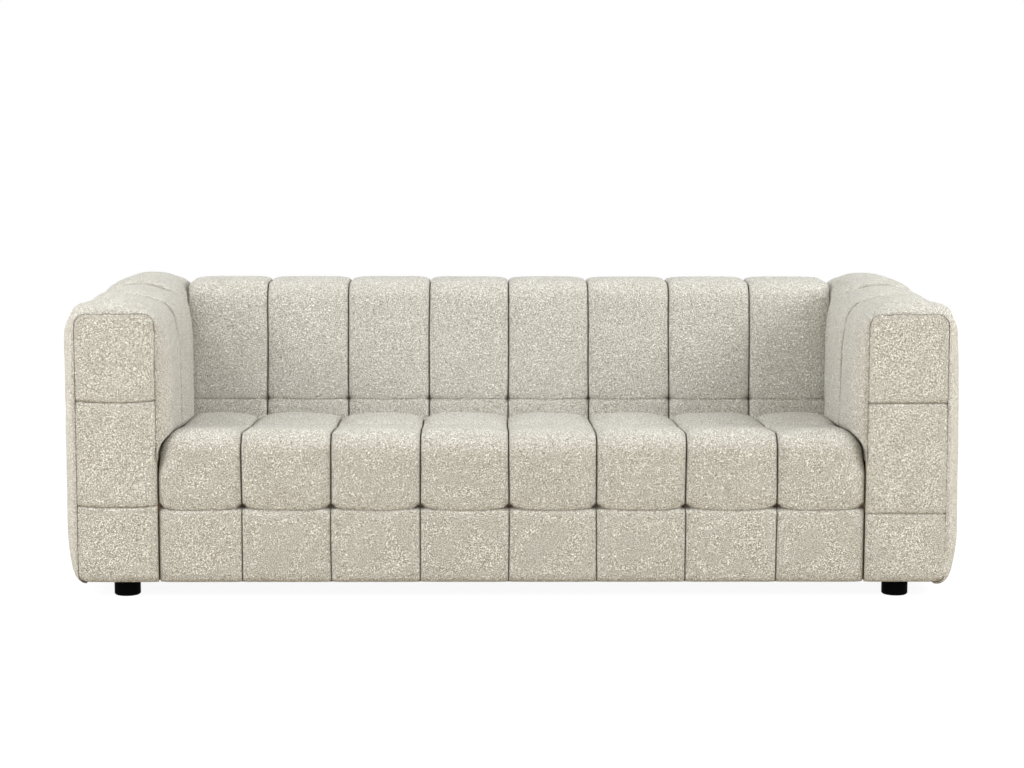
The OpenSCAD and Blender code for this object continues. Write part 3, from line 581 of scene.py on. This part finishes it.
back = dict(
    pad=0.040, crest=0.737, lean=8.0, coreRadius=0.022, foot=0.610, footZ=0.412, hemZ=0.2953,
    seamZ=0.415, step=0.007, columns=37,
    drift=(0, -0.001, 0, 0.001, -0.003, -0.005, -0.004, -0.003, 0), stray=0.0011, thinnest=0.006,
    seam=(dict(depth=0.011, width=0.042), dict(depth=0.003, width=0.003, power=1.8)),
    rearSeam=(dict(depth=0.010, width=0.040), dict(depth=0.007, width=0.006, power=1.8)),
    rearFrom=(0.06, 0.16),  # past the crest
    rowSag=0.003, rowFold=dict(depth=0.0025, width=0.028, power=2.2), cornerWidth=0.020,
    rowCrease=dict(depth=0.0022, width=0.004, power=1.6), tuft=dict(depth=0.010, across=0.010, along=0.008),
    crestFall=dict(depth=0.004, width=0.055, power=2.0), crestMid=0.05, crestReach=0.09,
    hem=dict(depth=0.014, width=0.030), bulge=0.004, bulgeLevel=0.85, bulgeBase=0.4, bulgeRise=0.8,
    archPower=0.7, puffPower=0.8, wave=dict(amount=0.0013, seed=30, size=0.16),
    pucker=0.0006, puckerSeed=40, firstSeam=20,
    # Thread and painted shade along the seams and the tuft row, weaker beside the arms, and painted shade in
    # the tuft pits
    seamThreadShade=dict(width=0.0025, dark=0.95), armThreadShade=dict(width=0.0025, dark=0.25),
    rowThreadShade=dict(width=0.0028, dark=0.18), tuftThreadShade=dict(depth=1, across=0.005, along=0.005),
    darkest=0.95,
)


# The front face of the back's core at a height, and the padded face over it
def backLineY(z, b):
    lean = math.radians(b["lean"])
    footY = frontY + b["foot"] + b["pad"] * math.cos(lean)
    return footY + (z - (b["footZ"] - b["pad"] * math.sin(lean))) * math.tan(lean)


def backFaceY(z, b):
    return backLineY(z, b) - b["pad"] / math.cos(math.radians(b["lean"]))


def backPath(b):
    lean = math.radians(b["lean"])
    rad = b["coreRadius"]
    top = b["crest"] - b["pad"]
    midZ = top - rad
    rearFace = rearY - b["pad"]
    frontMid = backLineY(midZ + rad * math.sin(lean), b) + rad * math.cos(lean)
    rearMid = rearFace - rad
    start = (backLineY(b["hemZ"], b), b["hemZ"])
    joint = (frontMid - rad * math.cos(lean), midZ + rad * math.sin(lean))
    seamAt = (b["seamZ"] - b["hemZ"]) / math.cos(lean)
    crestAt = math.dist(start, joint) + rad * math.radians(90 - b["lean"])
    path = walk([
        line(start, joint, 180 - b["lean"]),
        arc((frontMid, midZ), rad, 180 - b["lean"], 90),
        line((frontMid, top), (rearMid, top), 90),
        arc((rearMid, midZ), rad, 90, 0),
        line((rearFace, midZ), (rearFace, hemZ), 0),
    ], b["step"], [(seamAt - b["rowSag"], seamAt)])
    return path, seamAt, crestAt


def backChannel(k, b):
    (points, angles, run), seamAt, crestAt = backPath(b)
    u = edgeSpaced(b["columns"])
    r = run[:, None]
    x = channelX(k, u, r, b, k + b["firstSeam"])
    fromSeam = np.minimum(u, 1 - u) * pitch
    arch = 1 - (2 * u - 1) ** 2
    behind = smooth(r, crestAt + b["rearFrom"][0], crestAt + b["rearFrom"][1])
    side = groove(fromSeam, b["seam"]) * (1 - behind) + groove(fromSeam, b["rearSeam"]) * behind

    off = abs(r - seamAt + b["rowSag"] * arch)
    dip = fall(off, b["rowFold"]) * (1 + bell(fromSeam, b["cornerWidth"])) + fall(off, b["rowCrease"])
    pit = dent(fromSeam, r - seamAt, b["tuft"])
    rounded = fall(fromSeam, b["crestFall"]) * bell(r - crestAt - b["crestMid"], b["crestReach"])
    deep = b["pad"] - np.minimum(side + dip + pit, b["pad"] - b["thinnest"]) - rounded
    deep = deep - fall(run[-1] - r, b["hem"])
    fromRow = np.clip((r - seamAt) / (crestAt - seamAt), 0, 1)
    puff = b["bulgeBase"] + b["bulgeRise"] * np.sin(math.pi * fromRow ** b["puffPower"])
    deep = deep + b["bulge"] * (arch ** b["archPower"] * puff - b["bulgeLevel"])
    deep = deep + softNoise(x, r, b["wave"], k) + b["pucker"] * gather(fromSeam, r, b["puckerSeed"] + k)

    spots, sole = acrossSofa(x, points, angles, deep, np.zeros((len(run), 2)))
    # Painted shade with the thread: dark along the seams, weaker beside the arms, along the tuft row and in
    # the tuft pits
    besideArm = (k == 1) * (u < 0.5) + (k == channels) * (u > 0.5)
    seamThreadShade = (threadAndShadeLine(fromSeam, b["seamThreadShade"]) * (1 - besideArm)
                  + threadAndShadeLine(fromSeam, b["armThreadShade"]) * besideArm)
    threads = (seamThreadShade, threadAndShadeLine(off, b["rowThreadShade"]), dent(fromSeam, r - seamAt, b["tuftThreadShade"]))
    sewn = np.clip(np.maximum.reduce(np.broadcast_arrays(*threads)), 0, b["darkest"])
    loftPad(f"back_puff_{k}", f"back_channel_{k}", spots, sole, sewn)


for k in range(1, channels + 1):
    backChannel(k, back)
print("back made")


# Arms: three bands over each arm's core, and a stitched panel at either end

arm = dict(
    pad=0.046, gap=0.002, coreRadius=0.030, top=0.750, skirtZ=0.340, hemRadius=0.020, step=0.008,
    seams=(0.275, 0.529), columns=41, cornerColumns=49, thinnest=0.0011, upright=1.0, blur=7,
    bandDrop=dict(front=0.008, middle=0.006, corner=-0.003),
    fullPad=0.030, bulge=0.003, bulgeLevel=0.9, archPower=0.7,
    wave=dict(amount=0.0014, seed=60, size=0.15), rightSeeds=5, pucker=0.0006, puckerSeed=70,
    # The free edges at the front and the rear
    freeEdge=0.170, topEdge=0.085, innerEdge=0.065, freeEdgePower=3, endShare=0.96, endPower=1.85,
    # The sewn edges between two bands
    nearFall=0.005, nearWidth=0.070, innerFall=1.4, farFall=dict(front=0.0, middle=0.008, corner=0.012),
    farWidth=0.040, farPower=2.0, crease=dict(depth=0.0015, width=0.0035, power=1.8),
    cornerDip=dict(depth=1, width=0.110, power=1.6), cornerDipDepth=0.012, cornerDipSpread=38.0,
    # Weights of thread and painted shade at a band's front and rear seams, drawn wide so the seam walls look
    # shaded
    threads=dict(front=(0.15, 0.35), middle=(0.35, 0.35), corner=(0.35, 0.15)), threadWidth=0.006,
    # The front band's outer corner, and the outer side of the right arm, which is fuller low down
    frontCorner=0.012, frontCornerAngle=52, frontCornerSpread=26, frontCornerReach=0.16, frontCornerRise=0.03,
    fullerHeight=(0.06, 0.20, 0.35, 0.50, 0.62), fuller=(0.009, 0.008, 0.006, 0.005, 0.0), fullerPower=0.4,
    # Where the bands meet the seat and the back
    innerFrom=135, cornerSet=0.013, seatGap=0.0006, seatTopFrom=0.110, seatTopRun=0.487,
    backGap=0.0015, backTuck=(-0.020, 0.004), leastInward=0.05,
)
# Padding over an arm's core, by height on its sides and by angle round its corners
armShape = dict(
    innerHeight=(0.444, 0.604, 0.649, 0.674), innerPad=(0.038, 0.034, 0.027, 0.022),
    innerAngle=(180, 163, 135, 110, 90), innerCornerPad=(0.022, 0.0175, 0.017, 0.020, 0.024),
    topShare=(0, 0.12, 0.33, 0.66, 0.86, 1), topPad=(0.024, 0.031, 0.041, 0.042, 0.039, 0.030),
    outerAngle=(90, 73, 55, 32, 11, 0), outerCornerPad=(0.030, 0.0275, 0.0275, 0.0275, 0.034, 0.039),
    outerHeight=(0.058, 0.080, 0.110, 0.150, 0.620, 0.661, 0.674),
    outerPad=(0.0285, 0.036, 0.0415, 0.0455, 0.046, 0.044, 0.039),
    hemAngle=(0, -30, -60, -90), hemPad=(0.0285, 0.018, 0.008, 0.001),
)
bandOrder = ("front", "middle", "corner")


def armCore(a):
    return bayX + a["gap"], cadHigh.x - a["pad"], a["top"] - a["pad"], a["coreRadius"]


def armPath(a):
    inX, outX, top, rad = armCore(a)
    hemRadius = a["hemRadius"]
    return walk([
        line((inX, a["skirtZ"]), (inX, top - rad), 180),
        arc((inX + rad, top - rad), rad, 180, 90),
        line((inX + rad, top), (outX - rad, top), 90),
        arc((outX - rad, top - rad), rad, 90, 0),
        line((outX, top - rad), (outX, hemZ + hemRadius), 0),
        arc((outX - hemRadius, hemZ + hemRadius), hemRadius, 0, -90),
    ], a["step"])


def byAngle(angles, at, pads):
    return np.interp(-angles, [-t for t in at], pads)


def armProfile(points, angles, a, drop, shape):
    inX, outX, top, rad = armCore(a)
    x, z = points[:, 0], points[:, 1]
    across = (x - inX - rad) / (outX - inX - 2 * rad)
    onSide = z < top - rad
    deep = np.interp(across, shape["topShare"], shape["topPad"])
    deep = np.where(angles > 90, byAngle(angles, shape["innerAngle"], shape["innerCornerPad"]), deep)
    deep = np.where(angles < 90, byAngle(angles, shape["outerAngle"], shape["outerCornerPad"]), deep)
    innerSide = np.interp(z, shape["innerHeight"], shape["innerPad"])
    deep = np.where((angles > 180 - a["upright"]) & onSide, innerSide, deep)
    outerSide = np.interp(z, shape["outerHeight"], shape["outerPad"])
    deep = np.where((angles < a["upright"]) & onSide, outerSide, deep)
    deep = np.where(angles < 0, byAngle(angles, shape["hemAngle"], shape["hemPad"]), deep)
    kernel = np.hanning(a["blur"])
    soft = np.convolve(np.pad(deep, a["blur"] // 2, mode="edge"), kernel / kernel.sum(), mode="valid")
    return soft - drop * np.clip(np.sin(np.radians(angles)), 0, 1)


# Distance from the end of the seat at which its shoulder is as high as z
def shoulderReach(z, s):
    rad = s["shoulderRadius"]
    rise = np.clip(z - (s["crown"] - rad), 0, rad)
    return rad - np.sqrt(np.clip(rad ** 2 - rise ** 2, 0, None))


# How far a band sinks at its free end
def freeFall(distance, base, outward, inward, a):
    edge = a["topEdge"] + (a["freeEdge"] - a["topEdge"]) * outward ** a["freeEdgePower"]
    edge = edge + (a["innerEdge"] - a["topEdge"]) * inward
    return base * a["endShare"] * (1 - shoulder(distance / edge, 1.0, a["endPower"]))


# How far a band sinks where the next one is sewn to it
def sewnFall(distance, base, angles, inward, near, which, a):
    if near:
        share = np.clip(1 - distance / a["nearWidth"], 0, 1)
        sunk = a["nearFall"] * (1 + a["innerFall"] * inward) * share ** 2
    else:
        sunk = a["farFall"][which] * (1 - shoulder(distance, a["farWidth"], a["farPower"]))
    sunk = sunk + fall(distance, a["crease"])
    tight = a["cornerDipDepth"] * bell(angles - 45, a["cornerDipSpread"]) * fall(distance, a["cornerDip"])
    return sunk * np.minimum(base / a["fullPad"], 1) + tight


def armBand(which, sign, a):
    points, angles, run = armPath(a)
    index = bandOrder.index(which)
    starts = (a["gap"], *a["seams"], rearY - frontY - a["gap"])
    low, high = frontY + starts[index], frontY + starts[index + 1]
    atFront, atCorner = which == "front", which == "corner"
    base = armProfile(points, angles, a, a["bandDrop"][which], armShape)[:, None]
    u = edgeSpaced(a["cornerColumns"] if atCorner else a["columns"])
    y = low + (high - low) * u
    r = run[:, None]
    z = points[:, 1][:, None]
    angles = angles[:, None]
    turned = np.radians(angles)
    outward = np.clip(np.cos(turned), 0, 1)
    inward = np.clip(-np.cos(turned), 0, 1)
    arch = 1 - (2 * u - 1) ** 2

    deep = base
    for distance, free, near in ((y - low, atFront, False), (high - y, atCorner, True)):
        if free:
            deep = deep - freeFall(distance, base, outward, inward, a)
        else:
            deep = deep - sewnFall(distance, base, angles, inward, near, which, a)
    if atFront:
        full = a["frontCorner"] * bell(angles - a["frontCornerAngle"], a["frontCornerSpread"])
        full = full * np.clip(1 - (y - low) / a["frontCornerReach"], 0, 1)
        deep = deep + full * smooth(y - low, 0.0, a["frontCornerRise"])
    if sign > 0:
        fuller = np.interp(z, a["fullerHeight"], a["fuller"])
        deep = deep + fuller * (angles < a["upright"]) * arch ** a["fullerPower"]
    crown = a["bulge"] * (arch ** a["archPower"] - a["bulgeLevel"])
    deep = deep + crown * np.minimum(base / a["fullPad"], 1)
    deep = deep + softNoise(y, r, a["wave"], index + a["rightSeeds"] * (sign > 0))
    deep = deep + a["pucker"] * gather(high - y if atFront else y - low, r, a["puckerSeed"] + index)

    if atCorner:
        deep = deep - a["cornerSet"] * inward
    sink = seat["fall"] * np.clip((y - frontY - a["seatTopFrom"]) / a["seatTopRun"], 0, 1)
    overSeat = a["seatGap"] + shoulderReach(z + sink, seat)
    besideSeat = (angles > a["innerFrom"]) & (z + sink < seat["crown"])
    deep = np.where(besideSeat, np.minimum(deep, overSeat), deep)
    if atCorner:  # past the face of the back it keeps out of the last channel
        face = backFaceY(z, back)
        past = smooth(y, face + a["backTuck"][0], face + a["backTuck"][1]) * (angles > 90)
        toBay = points[:, 0][:, None] - bayX - a["gap"] + a["backGap"]
        room = toBay / np.clip(inward, a["leastInward"], None)
        deep = deep * (1 - past) + np.minimum(deep, room) * past
    deep = np.maximum(deep, a["thinnest"])

    x = points[:, 0][:, None] + deep * np.cos(turned)
    spots = np.stack([sign * x, np.broadcast_to(y, x.shape), z + deep * np.sin(turned)], axis=-1)
    sole = np.stack([np.tile(sign * points[:, :1], (1, 2)), np.tile(y[0, [0, -1]], (len(run), 1)),
                     np.tile(z, (1, 2))], axis=-1)
    # Painted shade with the thread along the seams between bands
    darks = a["threads"][which]
    sewn = (threadAndShadeLine(y - low, dict(width=a["threadWidth"], dark=darks[0]))
            + threadAndShadeLine(high - y, dict(width=a["threadWidth"], dark=darks[1])))
    side = "right" if sign > 0 else "left"
    loftPad(f"arm_{which}_puff_{side}", f"arm_{which}_band_{side}", spots, sole, sewn)


panel = dict(
    pad=0.017, step=0.010, columns=36, seams=dict(left=(0.228, 0.488), right=(0.208, 0.483)),
    wider=0.005, widerBelow=0.62,  # the right one's outer edge, low down
    edge=(dict(depth=0.0020, width=0.030, power=2.2), dict(depth=0.0010, width=0.0035, power=1.8)),
    seatEdge=dict(depth=0.007, width=0.016, power=2.0), seatEdgeTop=0.05, seatEdgeFade=(-0.02, 0.03),
    rowSag=0.005, rowBelow=0.002,
    row=(dict(depth=0.0035, width=0.030, power=2.2), dict(depth=0.0040, width=0.004, power=1.6)),
    hem=dict(depth=0.012, width=0.026, power=2.2), wave=dict(amount=0.0008, seed=80, size=0.14), set=0.0008,
    # Thread and painted shade along the row seams and, fainter and uneven, round the panel's edge
    rowThreadShade=dict(width=0.003, dark=0.32), edgeThreadShade=dict(width=0.0028, dark=0.15),
    edgeThreadShadeShare=0.6, edgeThreadShadeWave=dict(amount=0.4, seed=90, size=0.05), edgeThreadShadeScale=3, fill=0.3,
)


def armPanel(end, sign, a, p):
    side = "right" if sign > 0 else "left"
    inX, outX, top, rad = armCore(a)
    folds = [(at - hemZ - p["rowSag"], at - hemZ) for at in p["seams"][side]]
    folds += [(top - hemZ, top - hemZ), (0, 0)]
    points, _, run = walk([line((0, hemZ), (0, top), 180)], p["step"], folds)
    z = points[:, 1][:, None]
    u = edgeSpaced(p["columns"])
    rise = np.clip(z - (top - rad), 0, rad)
    inset = rad - np.sqrt(np.clip(rad ** 2 - rise ** 2, 0, None))
    low = np.clip(a["hemRadius"] - (z - hemZ), 0, a["hemRadius"])
    hemInset = a["hemRadius"] - np.sqrt(a["hemRadius"] ** 2 - low ** 2)
    nearX = inX + inset
    farX = outX - inset - hemInset + (sign > 0) * p["wider"] * np.clip(1 - z / p["widerBelow"], 0, 1)
    x = nearX + (farX - nearX) * u

    fromEdge = np.clip(np.minimum(np.minimum(x - nearX, farX - x), top - z), 0, None)
    besideSeat = smooth(seat["crown"] - p["seatEdgeTop"] - z, *p["seatEdgeFade"])
    sunk = groove(fromEdge, p["edge"]) + besideSeat * fall(x - inX, p["seatEdge"]) + fall(z - hemZ, p["hem"])
    # Painted shade with the thread along the row seams and round the edge
    threads = []
    for at in p["seams"][side]:
        off = abs(z - at + p["rowSag"] * (1 - (2 * u - 1) ** 2) * (sign < 0) - p["rowBelow"])
        sunk = sunk + groove(off, p["row"])
        threads.append(threadAndShadeLine(off, p["rowThreadShade"]))
    deep = -sunk + softNoise(x, z, p["wave"], (end == "rear") + 2 * (sign > 0)) - p["set"]
    scale = p["edgeThreadShadeScale"]
    uneven = p["edgeThreadShadeShare"] + softNoise(x * scale, z * scale, p["edgeThreadShadeWave"])
    threads.append(threadAndShadeLine(fromEdge, p["edgeThreadShade"]) * uneven)
    sewn = np.clip(np.maximum.reduce(np.broadcast_arrays(*threads)), 0, 1)

    face = -1 if end == "front" else 1
    plane = frontY if end == "front" else rearY
    spots = np.stack([sign * x, plane + face * deep, np.broadcast_to(z, x.shape)], axis=-1)
    soleY = np.full((len(run), 2), plane - face * p["pad"])
    sole = np.stack([sign * x[:, [0, -1]], soleY, np.tile(z, (1, 2))], axis=-1)
    loftPad(f"arm_{end}_panel_puff_{side}", f"arm_{end}_panel_{side}", spots, sole, sewn)


for sign in (-1, 1):
    for which in bandOrder:
        armBand(which, sign, arm)
    for end in ("front", "rear"):
        armPanel(end, sign, arm, panel)
print("arms made")


# World, lamps and floor

studio = dict(
    worldColour=(0.955, 0.975, 1.0), worldStrength=1.10,
    floorSize=14.0, floorColour=(0.46, 0.39, 0.30), floorPale=(0.90, 0.90, 0.90), floorGrain=0.05,
    floorGrainScale=3.0, floorGrainDetail=2.0, shadowShare=0.12, glow=1.06,
)
lamps = dict(
    front=dict(spot=(0.0, -5.0, 2.0), aim=(0, 0, 0.35), size=(3.0, 2.0), power=23.0, tint=(1.0, 0.965, 0.90)),
    left=dict(spot=(-4.2, 0.4, 1.7), aim=(-1.0, 0, 0.4), size=(2.4, 2.0), power=30.0, tint=(0.96, 0.98, 1.0)),
    right=dict(spot=(4.2, 0.2, 1.7), aim=(1.0, 0, 0.4), size=(2.4, 2.0), power=4.0, tint=(0.98, 0.98, 1.0)),
    leftHigh=dict(spot=(-2.4, -1.4, 3.0), aim=(0, 0, 0.4), size=(1.0, 1.0), power=26.0,
                  tint=(0.93, 0.97, 1.0)),
    leftFront=dict(spot=(-4.6, -2.4, 2.6), aim=(0.8, 0, 0.5), size=(2.0, 1.6), power=100.0,
                   tint=(0.99, 0.99, 1.0)),
    rightFront=dict(spot=(4.6, -2.8, 2.4), aim=(-0.6, 0, 0.5), size=(2.0, 1.6), power=62.0,
                    tint=(1.0, 0.99, 0.98)),
    rightHigh=dict(spot=(5.2, -1.2, 3.2), aim=(0, 0, 0.4), size=(2.4, 2.4), power=165.0,
                   tint=(0.95, 0.98, 1.0)),
)


def seenDirectly(f):
    camera, glossy, through = [f.node("ShaderNodeLightPath", output=name)
                               for name in ("Is Camera Ray", "Is Glossy Ray", "Is Transmission Ray")]
    return camera.join("MAXIMUM", glossy).join("MAXIMUM", through)


def makeWorld(s):
    f = Finish("studio_world", "worlds")
    seen = seenDirectly(f)
    level = seen * (1 - s["worldStrength"]) + s["worldStrength"]
    tone = f.blend(seen, s["worldColour"], (1.0, 1.0, 1.0))
    sky = f.node("ShaderNodeBackground", {}, {"Color": tone, "Strength": level})
    f.node("ShaderNodeOutputWorld", {}, {"Surface": sky})
    scene.world = f.block


def makeLamp(name, spot, aim, size, power, tint):
    data = bpy.data.lights.new(name, "AREA")
    data.shape = "RECTANGLE"
    data.size, data.size_y = size
    data.energy = power
    data.color = tint
    obj = bpy.data.objects.new(name, data)
    obj.location = spot
    obj.rotation_euler = (Vector(aim) - Vector(spot)).to_track_quat("-Z", "Y").to_euler()
    scene.collection.objects.link(obj)


# The camera sees a white floor that keeps the shadow, and other rays meet a plain pale one.
def makeFloor(s):
    f = Finish("pale_floor")
    seen = seenDirectly(f)
    grain = f.noise(s["floorGrainScale"], s["floorGrainDetail"]) * s["floorGrain"]
    met = f.blend(grain, s["floorColour"], s["floorPale"])
    lit = f.node("ShaderNodeBsdfDiffuse", {}, {"Color": f.blend(seen, met, s["floorPale"])})
    glow = f.node("ShaderNodeEmission", {}, {"Strength": s["glow"]})
    mixed = f.node("ShaderNodeMixShader", {}, {0: seen * (1 - s["shadowShare"]), 1: lit, 2: glow})
    f.node("ShaderNodeOutputMaterial", {}, {"Surface": mixed})
    half = s["floorSize"] / 2
    corners = [(-half, -half, 0), (half, -half, 0), (half, half, 0), (-half, half, 0)]
    mesh = bpy.data.meshes.new("floor")
    mesh.from_pydata(corners, [], [(0, 1, 2, 3)])
    mesh.materials.append(f.block)
    obj = bpy.data.objects.new("floor", mesh)
    scene.collection.objects.link(obj)


makeWorld(studio)
for name, values in lamps.items():
    makeLamp(name, **values)
makeFloor(studio)
scene.view_settings.view_transform = "Standard"
print("studio made")
